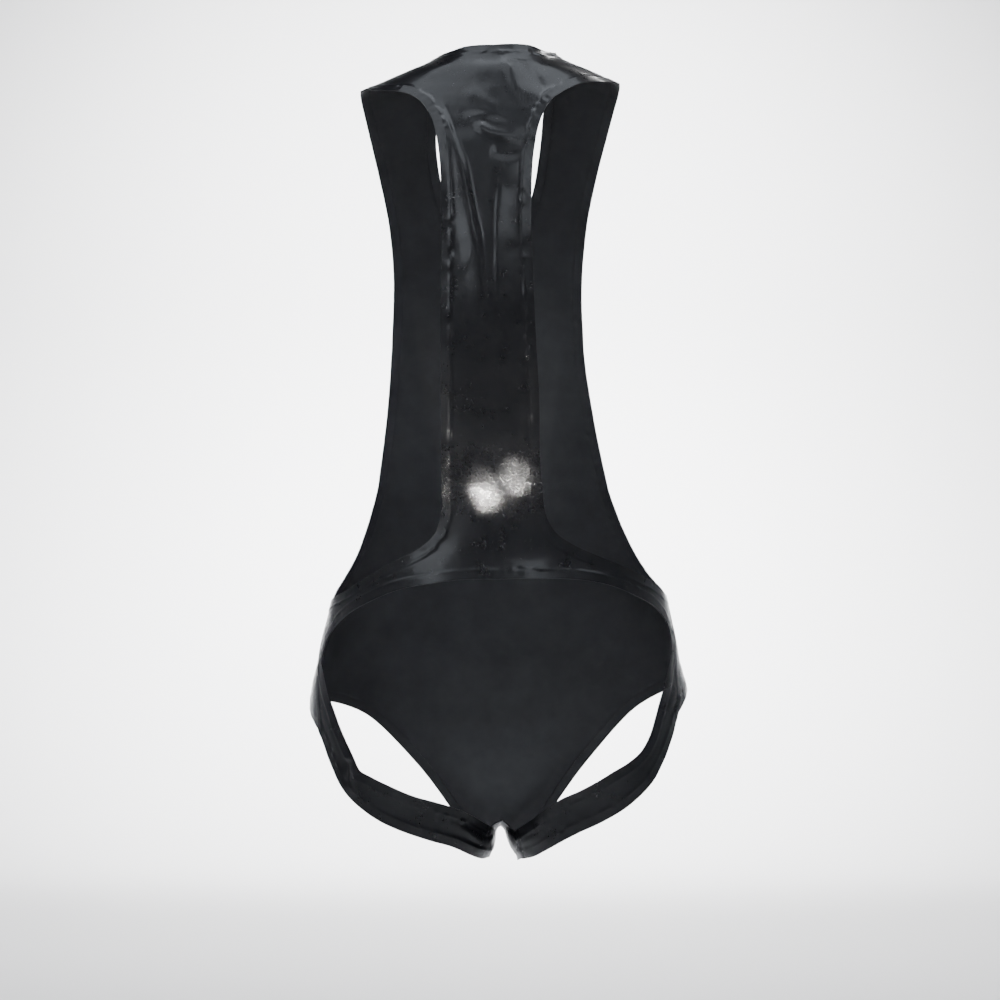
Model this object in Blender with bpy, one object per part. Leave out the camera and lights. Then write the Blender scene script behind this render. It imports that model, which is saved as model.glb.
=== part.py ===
"""A black latex wrestling singlet with an open seat, in the hollow shape that it has when it is worn.

The panels are walls that lie on the skin of a plain figure, which is a formula and isn't built itself.
Each half of a panel is a ladder: a table has a row for each section across the cloth, from one edge to
the other, and the wall runs through the sections. All sizes here are millimetres. The frame has +Z up,
the wearer's front at -Y and the wearer's left at +X, and its origin lies midway between the two
shoulders that carry the singlet.
"""

import math

import bmesh
import bpy
import numpy as np

MM = 0.001
WALL = 1.2
SEAM_GAP = 0.3
TAPE_WIDTH = 9.0
TAPE_WALL = 1.0
TAPE_GAP = 0.3
ACROSS = 8
SHARP_ANGLE = math.radians(50)

LEFT, RIGHT = 1, -1

# A point of a section is (x, y, z). One of the three may name a side of the figure instead of a size,
# and is then found there.
BACK, FRONT, TOP, BELOW, OUTER, INNER = "back", "front", "top", "below", "outer", "inner"

# The figure's trunk: half width, and depth behind and before the shoulder line, at each height.
TORSO_COLUMNS = ("z", "wide", "back", "front")
TORSO = (
    (60, 48, 34, 62),
    (34, 50, 42, 62),
    (18, 54, 49, 62),
    (8, 70, 55, 62),
    (-1, 93, 61, 64),
    (-17, 131, 70, 68),
    (-46, 205, 86, 80),
    (-72, 236, 98, 94),
    (-120, 222, 108, 112),
    (-170, 200, 112, 123),
    (-217, 182, 112, 125),
    (-265, 174, 108, 121),
    (-313, 165, 102, 115),
    (-362, 156, 95, 109),
    (-410, 148, 89, 105),
    (-458, 151, 90, 104),
    (-506, 160.5, 99, 105),
    (-555, 171.5, 111, 104),
    (-603, 177.5, 119, 101),
    (-651, 177, 114, 96),
    (-700, 172, 98, 88),
)
TORSO_SQUARE = 2.25
SEAT_Z = -630.0
CROTCH_Z = -720.0

# The figure's thighs: outer reach, the middle of the gap and half of it, and depth behind and before.
LEG_COLUMNS = ("z", "reach", "middle", "gap", "back", "front")
LEG = (
    (-560, 169.5, 0, 0, 96, 88),
    (-610, 177, 0, 2, 104, 92),
    (-660, 178, 0, 4, 105, 92),
    (-700, 179, -1, 4.5, 99, 90),
    (-727, 179.5, -1.5, 5.5, 95, 88),
    (-742, 180, -3, 8.5, 92, 86.5),
    (-753, 180, -3.8, 14.5, 91, 86),
    (-800, 181, -5, 19, 86, 82),
)
LEG_SQUARE = 2.0
GAP_X = -3.0
THIGH_Z = -600.0
THIGH_CAP = 70.0
BLEND = 16.0

# Where the middle of the cloth runs: it leans to the left above the waist.
LEAN_COLUMNS = ("z", "x")
LEAN = ((30, 5), (-20, 8.5), (-60, 11), (-250, 11), (-317, 9), (-440, 4), (-484, 1), (-600, -2), (-722, -3))

# The back panel's halves. "out" is the armhole's edge and then the side seam, "in" is the neck's edge,
# the middle of the cloth and then the edge of the seat opening, and "steps" leads to the next row.
SECTION_COLUMNS = ("out", "in", "steps", "turn")
BACK_LEFT = (
    ((133, 6, TOP), (57, 6, TOP), 3, ""),
    ((116, BACK, -22), (45, BACK, 17), 3, ""),
    ((100, BACK, -25), (32, BACK, 20.5), 3, ""),
    ((84, BACK, -29.5), (19, BACK, 21.5), 3, ""),
    ((72, BACK, -38), (5, BACK, 21.5), 1, "in"),
    ((68.5, BACK, -43), (6, BACK, 12.5), 2, ""),
    ((63, BACK, -53), (8, BACK, -20), 2, ""),
    ((58.7, BACK, -69), (11, BACK, -55), 2, ""),
    ((55, BACK, -94), (11.5, BACK, -90), 3, ""),
    ((53.5, BACK, -132), (11.5, BACK, -132), 6, ""),
    ((54, BACK, -225), (11, BACK, -225), 6, ""),
    ((54, BACK, -317), (9, BACK, -317), 5, ""),
    ((53.5, BACK, -395), (7, BACK, -400), 2, ""),
    ((55, BACK, -429), (5, BACK, -440), 2, ""),
    ((60, BACK, -441.5), (3, BACK, -463), 1, ""),
    ((65, BACK, -447.5), (2, BACK, -475), 1, ""),
    ((70, BACK, -452), (1, BACK, -484), 2, "in"),
    ((87, BACK, -462.5), (34, BACK, -484.5), 2, ""),
    ((108, BACK, -474), (64, BACK, -488.5), 2, ""),
    ((127, BACK, -485.5), (96, BACK, -495), 2, ""),
    ((145, BACK, -497), (123, BACK, -507), 2, ""),
    ((OUTER, 18, -505), (143, BACK, -519.5), 2, ""),
    ((OUTER, -6, -509), (155.5, BACK, -531.5), 1, "out"),
    ((OUTER, -3, -517.5), (158.5, BACK, -535.5), 1, ""),
    ((OUTER, 4, -537), (163, BACK, -545), 1, ""),
    ((OUTER, 13, -556), (166, BACK, -555.5), 1, ""),
    ((OUTER, 24, -573), (167, BACK, -567), 0, ""),
)
BACK_RIGHT = (
    ((-116, 6, TOP), (-53, 6, TOP), 3, ""),
    ((-101, BACK, -15), (-43, BACK, 17.5), 3, ""),
    ((-86, BACK, -16), (-31, BACK, 21.5), 3, ""),
    ((-70, BACK, -21), (-14, BACK, 22.5), 3, ""),
    ((-55, BACK, -30), (5, BACK, 21.5), 1, "in"),
    ((-50.5, BACK, -33.5), (6, BACK, 12.5), 2, ""),
    ((-45, BACK, -41), (8, BACK, -20), 2, ""),
    ((-38.5, BACK, -56), (11, BACK, -55), 2, ""),
    ((-33, BACK, -82), (11.5, BACK, -90), 3, ""),
    ((-30, BACK, -128), (11.5, BACK, -132), 6, ""),
    ((-32.2, BACK, -218), (11, BACK, -225), 6, ""),
    ((-37.2, BACK, -317), (9, BACK, -317), 5, ""),
    ((-40, BACK, -395), (7, BACK, -400), 2, ""),
    ((-45.5, BACK, -428.5), (5, BACK, -440), 2, ""),
    ((-53, BACK, -440.5), (3, BACK, -463), 1, ""),
    ((-60, BACK, -446.5), (2, BACK, -475), 1, ""),
    ((-67.5, BACK, -451), (1, BACK, -484), 2, "in"),
    ((-92, BACK, -462.5), (-38, BACK, -483.5), 2, ""),
    ((-119.5, BACK, -474), (-76, BACK, -485), 2, ""),
    ((-136, BACK, -482), (-107, BACK, -491.5), 2, ""),
    ((-150, BACK, -490.5), (-130, BACK, -501.5), 2, ""),
    ((OUTER, 20, -497.5), (-147, BACK, -511.5), 2, ""),
    ((OUTER, -6, -503), (-157, BACK, -523), 1, "out"),
    ((OUTER, -3, -511.5), (-159.5, BACK, -527.5), 1, ""),
    ((OUTER, 4, -526), (-162.5, BACK, -537), 1, ""),
    ((OUTER, 12, -541), (-163.3, BACK, -548), 1, ""),
    ((OUTER, 20, -554), (-162.5, BACK, -558), 0, ""),
)

# The thigh straps. "out" is the lower end of the side seam and then the hem, and "in" is the lower
# edge of the seat opening. They end at the groin seam, on the inside of the thigh.
STRAP_LEFT = (
    ((OUTER, 24, -573), (167, BACK, -567), 1, ""),
    ((OUTER, 41, -593), (161, BACK, -588), 1, ""),
    ((OUTER, 51, -618), (152.5, BACK, -611), 1, ""),
    ((169.5, BACK, -627), (149, BACK, -620), 3, "out"),
    ((163, BACK, -643), (142, BACK, -636), 3, ""),
    ((154, BACK, -665), (135, BACK, -650.5), 2, ""),
    ((141, BACK, -686), (130, BACK, -661), 2, ""),
    ((128, BACK, -697.5), (118, BACK, -668), 2, ""),
    ((112, BACK, -708.5), (103, BACK, -675), 3, ""),
    ((88, BACK, -719.5), (80, BACK, -685), 3, ""),
    ((66, BACK, -727.5), (57, BACK, -692.5), 2, ""),
    ((45, BACK, -735), (38, BACK, -700), 2, ""),
    ((30, BACK, -743.5), (25, BACK, -707.5), 2, ""),
    ((19, BACK, -750), (15, BACK, -715), 3, ""),
    ((INNER, 6, -752), (8.5, BACK, -720), 0, ""),
)
STRAP_RIGHT = (
    ((OUTER, 20, -554), (-162.5, BACK, -558), 1, ""),
    ((OUTER, 38, -577), (-157, BACK, -577), 1, ""),
    ((OUTER, 49, -602), (-149, BACK, -602), 1, ""),
    ((-168.5, BACK, -611), (-146.5, BACK, -611), 3, "out"),
    ((-163, BACK, -632), (-141, BACK, -630), 3, ""),
    ((-154.5, BACK, -654), (-133, BACK, -644), 2, ""),
    ((-142, BACK, -675), (-120, BACK, -654.5), 2, ""),
    ((-131, BACK, -686), (-106, BACK, -662.5), 2, ""),
    ((-117.5, BACK, -697), (-92, BACK, -671), 3, ""),
    ((-99, BACK, -708), (-76, BACK, -680), 3, ""),
    ((-75, BACK, -720), (-59, BACK, -688.5), 2, ""),
    ((-61, BACK, -728), (-45, BACK, -699), 2, ""),
    ((-48, BACK, -736.5), (-33, BACK, -709.5), 2, ""),
    ((-35, BACK, -745.5), (-23.5, BACK, -717.5), 2, ""),
    ((-23, BACK, -751), (-16, BACK, -724.5), 0, ""),
)

# The front panel's halves are alike. Here x is the distance from the middle of the cloth. The first
# row is the shoulder seam, and SEAM stands for the corner at the top of the side seam.
SEAM = "seam"
FRONT_SECTIONS = (
    (SEAM, SEAM, 3, ""),
    ((119, FRONT, -45), (53, FRONT, -22), 3, ""),
    ((108, FRONT, -90), (51, FRONT, -66), 3, ""),
    ((99, FRONT, -135), (44, FRONT, -105), 3, ""),
    ((95, FRONT, -175), (32, FRONT, -136), 2, ""),
    ((94, FRONT, -205), (16, FRONT, -154), 2, ""),
    ((94.5, FRONT, -228), (0, FRONT, -160), 1, "in"),
    ((95, FRONT, -238), (0, FRONT, -169), 3, ""),
    ((96, FRONT, -265), (0, FRONT, -215), 4, ""),
    ((101, FRONT, -315), (0, FRONT, -285), 4, ""),
    ((108, FRONT, -365), (0, FRONT, -350), 4, ""),
    ((118, FRONT, -415), (0, FRONT, -410), 3, ""),
    ((132, FRONT, -455), (0, FRONT, -455), 3, ""),
    ((150, FRONT, -488), (0, FRONT, -490), 3, ""),
    (SEAM, (0, FRONT, -525), 1, "out"),
    ((OUTER, -14, -513), (0, FRONT, -534), 2, ""),
    ((130, FRONT, -552), (0, FRONT, -560), 3, ""),
    ((96, FRONT, -592), (0, FRONT, -600), 3, ""),
    ((64, FRONT, -635), (0, FRONT, -645), 3, ""),
    ((36, FRONT, -680), (0, FRONT, -686), 2, ""),
    ((15, -50, BELOW), (0, -48, BELOW), 2, ""),
    ((7, -12, -727), (0, -8, BELOW), 1, ""),
    ((7, 12, -727), (0, 30, BELOW), 1, ""),
    (SEAM, (0, 46, BELOW), 0, ""),
)

# The front panel ends in a tongue between the thighs. This is a corner of its edge.
TONGUE_CORNER = (9, 38, BELOW)
TONGUE_STEPS = (3, 4)

# The leg's hem on the front, from the side seam over the hip and round to the groin seam.
HEM_COLUMNS = ("hem", "steps")
HEM_LEFT = (
    (SEAM, 3),
    ((OUTER, 21, -614), 2),
    ((OUTER, -28, -606), 3),
    ((135, FRONT, -622), 3),
    ((85, FRONT, -672), 3),
    ((38, FRONT, -732), 2),
    ((INNER, -25, -756), 2),
    (SEAM, 0),
)
HEM_RIGHT = (
    (SEAM, 3),
    ((OUTER, 19, -595), 2),
    ((OUTER, -28, -591), 3),
    ((135, FRONT, -614), 3),
    ((85, FRONT, -670), 3),
    ((38, FRONT, -732), 2),
    ((INNER, -15, -757), 2),
    (SEAM, 0),
)

# The largest folds: a soft ridge, or a trough where "height" is below zero, from one point to another.
FOLD_COLUMNS = ("start", "end", "width", "height")
FOLDS = (
    ((48, BACK, -45), (28, BACK, -120), 9, 2.2),
    ((28, BACK, -120), (15, BACK, -225), 8, 2.0),
    ((-14, BACK, -95), (2, BACK, -165), 7, 1.4),
    ((2, BACK, -165), (-1, BACK, -260), 6, 1.2),
    ((22, BACK, -52), (0, BACK, -70), 6, 1.8),
    ((0, BACK, -70), (-26, BACK, -77), 6, 2.2),
    ((140, BACK, -652), (141, BACK, -676), 4, -2.2),
    ((131, BACK, -662), (132, BACK, -686), 6, 1.8),
)

LATEX = {"color": (0.012, 0.012, 0.014, 1), "roughness": 0.22}
TAPE = {"color": (0.02, 0.02, 0.022, 1), "roughness": 0.4}


def columns(names, table):
    """The table's columns by name."""
    return dict(zip(names, (np.array(c, float) for c in zip(*table))))


def smooth(x, xs, ys):
    """A smooth curve through the points (xs, ys), with no overshoot, read at x."""
    order = np.argsort(xs)
    xs, ys = xs[order], ys[order]
    run = np.diff(xs)
    rise = np.diff(ys) / run
    bend = np.concatenate([rise[:1], np.zeros(len(xs) - 2), rise[-1:]])
    same = rise[:-1] * rise[1:] > 0
    mean = 2 * rise[:-1] * rise[1:] / np.where(same, rise[:-1] + rise[1:], 1)
    bend[1:-1] = np.where(same, mean, 0)
    x = np.clip(x, xs[0], xs[-1])
    i = np.clip(np.searchsorted(xs, x) - 1, 0, len(run) - 1)
    t = (x - xs[i]) / run[i]
    start = (1 + 2 * t) * (1 - t) ** 2 * ys[i] + t * (1 - t) ** 2 * run[i] * bend[i]
    end = t * t * (3 - 2 * t) * ys[i + 1] + t * t * (t - 1) * run[i] * bend[i + 1]
    return start + end


TRUNK = columns(TORSO_COLUMNS, TORSO)
THIGH = columns(LEG_COLUMNS, LEG)
MIDDLE = columns(LEAN_COLUMNS, LEAN)


def trunk_value(p):
    """Below zero inside the trunk, and about the distance from its skin."""
    x, y, z = p[..., 0], p[..., 1], p[..., 2]
    wide = smooth(z, TRUNK["z"], TRUNK["wide"])
    behind = smooth(z, TRUNK["z"], TRUNK["back"])
    before = smooth(z, TRUNK["z"], TRUNK["front"])
    deep = np.where(y > 0, behind, before)
    low = np.maximum(SEAT_Z - z, 0) / (SEAT_Z - CROTCH_Z)
    n = TORSO_SQUARE
    r = (np.abs(x / wide) ** n + np.abs(y / deep) ** n + low**n) ** (1 / n)
    return (r - 1) * np.sqrt(wide * deep)


def thigh_value(p, side):
    """The same for one thigh."""
    x, y, z = p[..., 0], p[..., 1], p[..., 2]
    reach = smooth(z, THIGH["z"], THIGH["reach"])
    inner = side * smooth(z, THIGH["z"], THIGH["middle"]) + smooth(z, THIGH["z"], THIGH["gap"])
    wide, centre = (reach - inner) / 2, side * (reach + inner) / 2
    behind = smooth(z, THIGH["z"], THIGH["back"])
    before = smooth(z, THIGH["z"], THIGH["front"])
    deep = np.where(y > 0, behind, before)
    high = np.maximum(z - THIGH_Z, 0) / THIGH_CAP
    n = LEG_SQUARE
    r = (np.abs((x - centre) / wide) ** n + np.abs(y / deep) ** n + high**n) ** (1 / n)
    return (r - 1) * np.sqrt(wide * deep)


def figure(p):
    """Below zero inside the figure: the trunk and the thighs, blended."""
    a = trunk_value(p)
    b = np.minimum(thigh_value(p, LEFT), thigh_value(p, RIGHT))
    near = np.maximum(BLEND - np.abs(a - b), 0) / BLEND
    return np.minimum(a, b) - near * near * BLEND / 4


def steepness(p, step=0.5):
    """The gradient of the figure's value."""
    g = np.zeros(p.shape)
    for k in range(3):
        d = np.zeros(3)
        d[k] = step
        g[..., k] = (figure(p + d) - figure(p - d)) / (2 * step)
    return g


def settle(p, rounds=12):
    """The points moved onto the nearest skin of the figure."""
    p = np.array(p, float)
    for _ in range(rounds):
        g = steepness(p)
        p = p - (figure(p) / np.maximum((g * g).sum(-1), 1e-9))[..., None] * g
    return p


def outward(p):
    """The skin's outward direction."""
    g = steepness(p)
    return g / np.linalg.norm(g, axis=-1, keepdims=True)


def cast(origin, direction, reach=420.0, samples=841, halvings=24):
    """Where a line first meets the figure, or the skin nearest to it if it misses."""
    origin, direction = np.array(origin, float), np.array(direction, float)
    t = np.linspace(0, reach, samples)
    value = figure(origin + t[:, None] * direction)
    inside = np.flatnonzero(value < 0)
    if len(inside) == 0:
        return settle(origin + t[value.argmin()] * direction)
    high = t[inside[0]]
    low = t[max(inside[0] - 1, 0)]
    for _ in range(halvings):
        half = (low + high) / 2
        if figure(origin + half * direction) < 0:
            high = half
        else:
            low = half
    return origin + high * direction


def on_figure(point, side=LEFT):
    """The place on the figure of a section's point."""
    x, y, z = point
    far = 300.0
    if y == BACK:
        return cast((x, far, z), (0, -1, 0))
    if y == FRONT:
        return cast((x, -far, z), (0, 1, 0))
    if z == TOP:
        return cast((x, y, 100.0), (0, 0, -1))
    if z == BELOW:
        return cast((x, y, -900.0), (0, 0, 1))
    if x == OUTER:
        return cast((side * far, y, z), (-side, 0, 0))
    if x == INNER:
        return cast((GAP_X, y, z), (side, 0, 0))
    return settle((x, y, z))


def curve(points, steps, turns=()):
    """A smooth line through the points, in the given steps between them, with a corner at each turn."""
    points = np.array(points, float)
    ends = [0, *sorted(turns), len(points) - 1]
    line = [points[0]]
    for first, last in zip(ends, ends[1:]):
        part = points[first : last + 1]
        run = np.linalg.norm(np.diff(part, axis=0), axis=1)[:, None]
        rise = np.diff(part, axis=0) / run
        bend = np.concatenate([rise[:1], rise, rise[-1:]])[: len(part)]
        inner = (rise[:-1] * run[1:] + rise[1:] * run[:-1]) / (run[1:] + run[:-1])
        bend[1:-1] = inner
        if len(part) > 2:
            bend[0] = 1.5 * rise[0] - 0.5 * bend[1]
            bend[-1] = 1.5 * rise[-1] - 0.5 * bend[-2]
        else:
            bend[:] = rise[0]
        for i in range(len(part) - 1):
            for k in range(1, steps[first + i] + 1):
                t = k / steps[first + i]
                a = (1 + 2 * t) * (1 - t) ** 2 * part[i] + t * (1 - t) ** 2 * run[i] * bend[i]
                b = t * t * (3 - 2 * t) * part[i + 1] + t * t * (t - 1) * run[i] * bend[i + 1]
                line.append(a + b)
    return settle(line)


def rails(sections, side, corners=None):
    """The two long edges of a ladder, from its table. The corners replace each SEAM, in order."""
    found = {}
    for k, name in ((0, "out"), (1, "in")):
        given = iter(corners[name]) if corners else None
        points = [next(given) if row[k] == SEAM else on_figure(row[k], side) for row in sections]
        turns = [i for i, row in enumerate(sections) if row[3] == name]
        found[name] = curve(points, [row[2] for row in sections], turns)
    return found["out"], found["in"]


def shares(length, free_start, free_end, count):
    """How the points of a rung are spread over its length, with a hem tape's width at a free edge."""
    tape = min(TAPE_WIDTH / length, 0.3)
    start = [0.0, tape] if free_start else [0.0]
    end = [1 - tape, 1.0] if free_end else [1.0]
    left = count - len(start) - len(end) + 2
    return np.array([*start[:-1], *np.linspace(start[-1], end[0], left), *end[1:]])


def ladder(out, inner, free_out, free_in, first=None):
    """Rungs from one edge to the other, settled on the figure."""
    grid = []
    for i, (a, b) in enumerate(zip(out, inner)):
        length = max(np.linalg.norm(b - a), 1e-6)
        t = shares(length, free_out(i), free_in(i), ACROSS)
        grid.append(a + t[:, None] * (b - a))
    grid = settle(np.array(grid))
    grid[:, 0], grid[:, -1] = out, inner
    if first is not None:
        grid[0] = first
    return grid


def pull_back(grid, edge):
    """Moves one end row or side column of a ladder back by half a seam's gap."""
    grid = grid.copy()
    view = {
        "first": grid,
        "last": grid[::-1],
        "out": grid.transpose(1, 0, 2),
        "in": grid[:, ::-1].transpose(1, 0, 2),
    }[edge]
    way = view[1] - view[0]
    view[0] += way / np.linalg.norm(way, axis=-1, keepdims=True) * SEAM_GAP / 2
    return grid


def fold_heights(points):
    """How far the folds lift the cloth at each point."""
    lift = np.zeros(points.shape[:-1])
    for start, end, width, height in FOLDS:
        a, b = on_figure(start), on_figure(end)
        along = ((points - a) @ (b - a)) / ((b - a) @ (b - a))
        nearest = a + np.clip(along, 0, 1)[..., None] * (b - a)
        away = np.linalg.norm(points - nearest, axis=-1) / width
        lift += height * np.exp(-away * away)
    return lift


def wall(name, grids, inside, outside, material, parent):
    """A closed solid through the grids' points, between two distances from the figure."""
    points, faces, index = [], [], {}
    for grid in grids:
        start = len(faces)
        rows, across = grid.shape[:2]
        ids = np.zeros((rows, across), int)
        for i in range(rows):
            for j in range(across):
                key = tuple(np.round(grid[i, j], 3))
                if key not in index:
                    index[key] = len(points)
                    points.append(grid[i, j])
                ids[i, j] = index[key]
        for i in range(rows - 1):
            for j in range(across - 1):
                a, b, c, d = ids[i, j], ids[i + 1, j], ids[i + 1, j + 1], ids[i, j + 1]
                if math.dist(points[a], points[c]) < math.dist(points[b], points[d]):
                    faces += [[a, b, c], [a, c, d]]
                else:
                    faces += [[a, b, d], [b, c, d]]
        corners = np.array([[points[v] for v in face] for face in faces[start:]])
        ways = np.cross(corners[:, 1] - corners[:, 0], corners[:, 2] - corners[:, 0])
        if (ways * outward(corners.mean(1))).sum() < 0:
            faces[start:] = [face[::-1] for face in faces[start:]]
    points = np.array(points)
    normals = outward(points)
    lift = fold_heights(points)

    uses = {}
    for face in faces:
        for a, b in zip(face, face[1:] + face[:1]):
            uses[(a, b)] = True
    rim = [(a, b) for a, b in uses if (b, a) not in uses]
    count = len(points)
    shell = [list(face) for face in faces]
    shell += [[v + count for v in reversed(face)] for face in faces]
    shell += [[b, a, a + count, b + count] for a, b in rim]
    outer = points + normals * (lift + outside)[:, None]
    inner = points + normals * (lift + inside)[:, None]

    mesh = bpy.data.meshes.new(name)
    mesh.from_pydata((np.concatenate([outer, inner]) * MM).tolist(), [], shell)
    mesh.validate()
    mesh.materials.append(material)
    solid = bpy.data.objects.new(name, mesh)
    bpy.context.scene.collection.objects.link(solid)
    solid.parent = parent
    shade(mesh)
    return solid


def shade(mesh):
    """Shades the cloth smooth, with its cut edges sharp."""
    mesh.shade_smooth()
    mesh.set_sharp_from_angle(angle=SHARP_ANGLE)


def latex(name, look):
    """A plain material with the sheet's colour and gloss."""
    material = bpy.data.materials.new(name)
    material.use_nodes = True
    surface = material.node_tree.nodes["Principled BSDF"]
    surface.inputs["Base Color"].default_value = look["color"]
    surface.inputs["Roughness"].default_value = look["roughness"]
    surface.inputs["Metallic"].default_value = 0.0
    return material


def row_of(sections, turn, name):
    """The number of points along a ladder's edge before the row that is marked as this turn."""
    at = [i for i, row in enumerate(sections) if row[3] == name][turn]
    return sum(row[2] for row in sections[:at])


def back_half(sections, side):
    """One half of the back panel, and the part of the side seam that it meets."""
    out, inner = rails(sections, side)
    seam_from = row_of(sections, 0, "out")
    neck_to, seat_from = row_of(sections, 0, "in"), row_of(sections, 1, "in")
    grid = ladder(
        out,
        inner,
        lambda i: i <= seam_from + 1,
        lambda i: i <= neck_to + 1 or i >= seat_from - 1,
    )
    return {
        "grid": grid,
        "seam": grid[seam_from:, 0],
        "armhole": grid[: seam_from + 2, :2],
        "neck": grid[: neck_to + 2, -2:],
        "seat": grid[seat_from - 1 :, -2:],
    }


def strap(sections, side, back):
    """One thigh strap, whose first rung is the back panel's last."""
    out, inner = rails(sections, side)
    hem_from = row_of(sections, 0, "out")
    grid = ladder(out, inner, lambda i: i >= hem_from - 1, lambda i: True, back["grid"][-1])
    return {
        "grid": grid,
        "seam": np.concatenate([back["seam"], grid[1 : hem_from + 1, 0]]),
        "groin": grid[-1],
        "hem": grid[hem_from - 1 :, :2],
        "seat": grid[:, -2:],
    }


def from_middle(point, side):
    """A front section's point, whose x is its distance from the middle of the cloth."""
    if point == SEAM:
        return SEAM
    x, y, z = point
    if x in (OUTER, INNER):
        return point
    height = CROTCH_Z if z == BELOW else z
    return (float(smooth(np.array(height), MIDDLE["z"], MIDDLE["x"])) + side * x, y, z)


def front_half(hem_table, side, back, band):
    """One half of the front panel: the ladder of the body, and the one of the leg."""
    sections = [(from_middle(a, side), from_middle(b, side), n, t) for a, b, n, t in FRONT_SECTIONS]
    shoulder = back["grid"][0]
    top, low = band["seam"][0], band["seam"][-1]
    fork, hem_end = band["groin"][-1], band["groin"][0]
    corners = {"out": [shoulder[0], top, fork], "in": [shoulder[-1]]}
    out, inner = rails(sections, side, corners)
    seam_at = row_of(sections, 0, "out")
    neck_to = row_of(sections, 0, "in")
    body = ladder(out, inner, lambda i: i <= seam_at + 1, lambda i: i <= neck_to + 1, shoulder)
    corner = on_figure(from_middle(TONGUE_CORNER, side))
    body[-1] = curve([fork, corner, inner[-1]], TONGUE_STEPS)

    groin_line = out[seam_at:]
    given = iter([low, hem_end])
    hem_points = [
        next(given) if point == SEAM else on_figure(from_middle(point, side), side)
        for point, _ in hem_table
    ]
    hem = curve(hem_points, [steps for _, steps in hem_table])
    ends = (1, len(hem) - 2)
    leg = ladder(hem, groin_line, lambda i: True, lambda i: i in ends, band["seam"][::-1])
    leg[-1] = band["groin"]
    return {
        "body": body,
        "leg": leg,
        "corner": seam_at,
        "armhole": [body[: seam_at + 2, :2], leg[:2, -2:]],
        "neck": body[: neck_to + 2, -2:],
        "hem": leg[:, :2],
        "seat": [leg[-2:, -2:], body[-2:]],
    }


def build():
    for item in list(bpy.data.objects):
        bpy.data.objects.remove(item)
    hanger = bpy.data.objects.new("singlet", None)
    bpy.context.scene.collection.objects.link(hanger)
    sheet = latex("latex", LATEX)
    tape = latex("tape", TAPE)

    back = {LEFT: back_half(BACK_LEFT, LEFT), RIGHT: back_half(BACK_RIGHT, RIGHT)}
    band = {LEFT: strap(STRAP_LEFT, LEFT, back[LEFT]), RIGHT: strap(STRAP_RIGHT, RIGHT, back[RIGHT])}
    front = {
        LEFT: front_half(HEM_LEFT, LEFT, back[LEFT], band[LEFT]),
        RIGHT: front_half(HEM_RIGHT, RIGHT, back[RIGHT], band[RIGHT]),
    }

    backs, fronts = [], []
    for side in (LEFT, RIGHT):
        grid = pull_back(pull_back(back[side]["grid"], "first"), "last")
        seam = len(back[side]["seam"])
        part = pull_back(grid[-seam:], "out")
        grid[-seam:, 0] = part[:, 0]
        backs.append(grid)
        body = pull_back(front[side]["body"], "first")
        leg = pull_back(pull_back(front[side]["leg"], "first"), "last")
        body[front[side]["corner"], 0] = leg[0, -1]
        body[-1, 0] = leg[-1, -1]
        fronts += [body, leg]
    wall("back_panel", backs, 0, WALL, sheet, hanger)
    wall("front_panel", fronts, 0, WALL, sheet, hanger)

    for side, name in ((LEFT, "left"), (RIGHT, "right")):
        grid = pull_back(pull_back(band[side]["grid"], "first"), "last")
        seam = len(band[side]["seam"]) - len(back[side]["seam"]) + 1
        grid[:seam, 0] = pull_back(grid[:seam], "out")[:, 0]
        wall(f"thigh_strap_{name}", [grid], 0, WALL, sheet, hanger)

    low, high = -TAPE_GAP - TAPE_WALL, -TAPE_GAP
    for side, name in ((LEFT, "left"), (RIGHT, "right")):
        armhole = [back[side]["armhole"], *front[side]["armhole"]]
        wall(f"armhole_tape_{name}", armhole, low, high, tape, hanger)
        hem = [band[side]["hem"], front[side]["hem"]]
        wall(f"leg_tape_{name}", hem, low, high, tape, hanger)
    neck, seat = [], []
    for side in (LEFT, RIGHT):
        neck += [back[side]["neck"], front[side]["neck"]]
        seat += [back[side]["seat"], band[side]["seat"], *front[side]["seat"]]
    wall("neck_tape", neck, low, high, tape, hanger)
    wall("seat_tape", seat, low, high, tape, hanger)


build()
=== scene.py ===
"""The looks of a worn black latex wrestling singlet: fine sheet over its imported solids, in a pale studio.

The sheet lies on the same plain figure as the solids, which is a formula and isn't built itself. Sizes in
the tables are millimetres. The frame has +Z up, the wearer's front at -Y and the wearer's left at +X.
"""

import math

import bpy
import numpy as np
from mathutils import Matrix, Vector
from mathutils.kdtree import KDTree


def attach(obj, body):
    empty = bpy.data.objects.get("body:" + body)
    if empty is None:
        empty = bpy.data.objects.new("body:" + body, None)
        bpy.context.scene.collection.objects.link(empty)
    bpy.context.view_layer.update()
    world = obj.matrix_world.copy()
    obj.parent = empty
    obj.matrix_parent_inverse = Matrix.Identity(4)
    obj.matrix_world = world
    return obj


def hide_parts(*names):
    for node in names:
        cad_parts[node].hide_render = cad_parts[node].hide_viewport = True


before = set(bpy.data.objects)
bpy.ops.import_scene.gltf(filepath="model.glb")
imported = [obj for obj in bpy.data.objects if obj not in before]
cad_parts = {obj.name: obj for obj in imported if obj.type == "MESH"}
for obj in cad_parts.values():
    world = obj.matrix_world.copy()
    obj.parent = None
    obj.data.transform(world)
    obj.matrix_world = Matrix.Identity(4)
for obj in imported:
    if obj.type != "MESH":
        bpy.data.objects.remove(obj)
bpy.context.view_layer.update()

MM = 0.001

# The solids' wall, and the fine sheet that is drawn in its outer part. Points that agree to MERGE_DIGITS
# decimals are one point of the sheet.
WALL = 1.2
SHEET = 0.7
SHARP_ANGLE = math.radians(50)
MERGE_DIGITS = 2

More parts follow.
